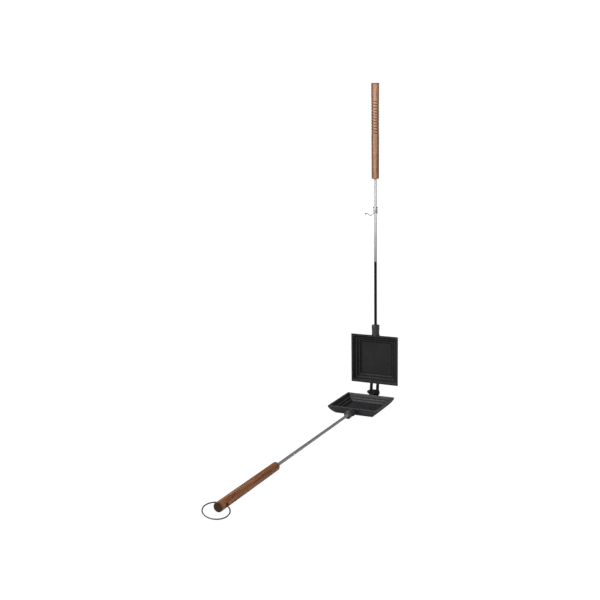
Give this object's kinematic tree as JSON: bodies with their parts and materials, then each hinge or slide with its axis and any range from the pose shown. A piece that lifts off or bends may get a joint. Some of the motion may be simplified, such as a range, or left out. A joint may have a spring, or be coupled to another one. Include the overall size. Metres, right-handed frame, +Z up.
{
  "type": "pie iron",
  "caption": "Open camp-fire pie iron: square terraced cast-iron pans on a bolt hinge, long steel rods with grooved wooden handles, a wire latch hook and a hanging ring.",
  "frame": {"origin": "centre of the lower pan's flat base, on the table", "axes": "+Z up; -Y from the pans along the lower rod to its handle; +X along the hinge axis, towards the bolt head"},
  "size_m": [0.108, 0.7104, 0.6827],
  "materials": {
    "seasoned_iron": "seasoned, satin",
    "rod_steel": "drawn steel rod",
    "pin_steel": "dark steel",
    "wire_steel": "zinc-grey wire",
    "black_fastener": "black oxide",
    "handle_wood": "oiled hardwood"
  },
  "bodies": {
    "lower_half": {"lower_pan": "seasoned_iron", "lower_rod": "rod_steel", "lower_stop_pin": "pin_steel", "lower_handle": "handle_wood"},
    "upper_half": {"upper_pan": "seasoned_iron", "upper_rod": "rod_steel", "upper_stop_pin": "pin_steel", "upper_handle": "handle_wood", "hinge_bolt": "black_fastener", "hinge_nut": "black_fastener"},
    "latch": {"latch_hook": "wire_steel"},
    "ring": {"hanging_ring": "wire_steel"}
  },
  "joints": [
    {"name": "pan_hinge", "type": "hinge", "parent": "lower_half", "child": "upper_half", "pos_m": [0, 0.074, 0.01865], "axis": [1, 0, 0], "range_deg": [0, 90]},
    {"name": "latch_swing", "type": "hinge", "parent": "upper_half", "child": "latch", "pos_m": [0, 0.083, 0.41115], "axis": [0, 0, 1], "range_deg": [-150, 30]},
    {"name": "ring_swing", "type": "hinge", "parent": "lower_half", "child": "ring", "pos_m": [0, -0.5744, 0.00965], "axis": [1, 0, 0], "range_deg": [-140, 150]}
  ]
}
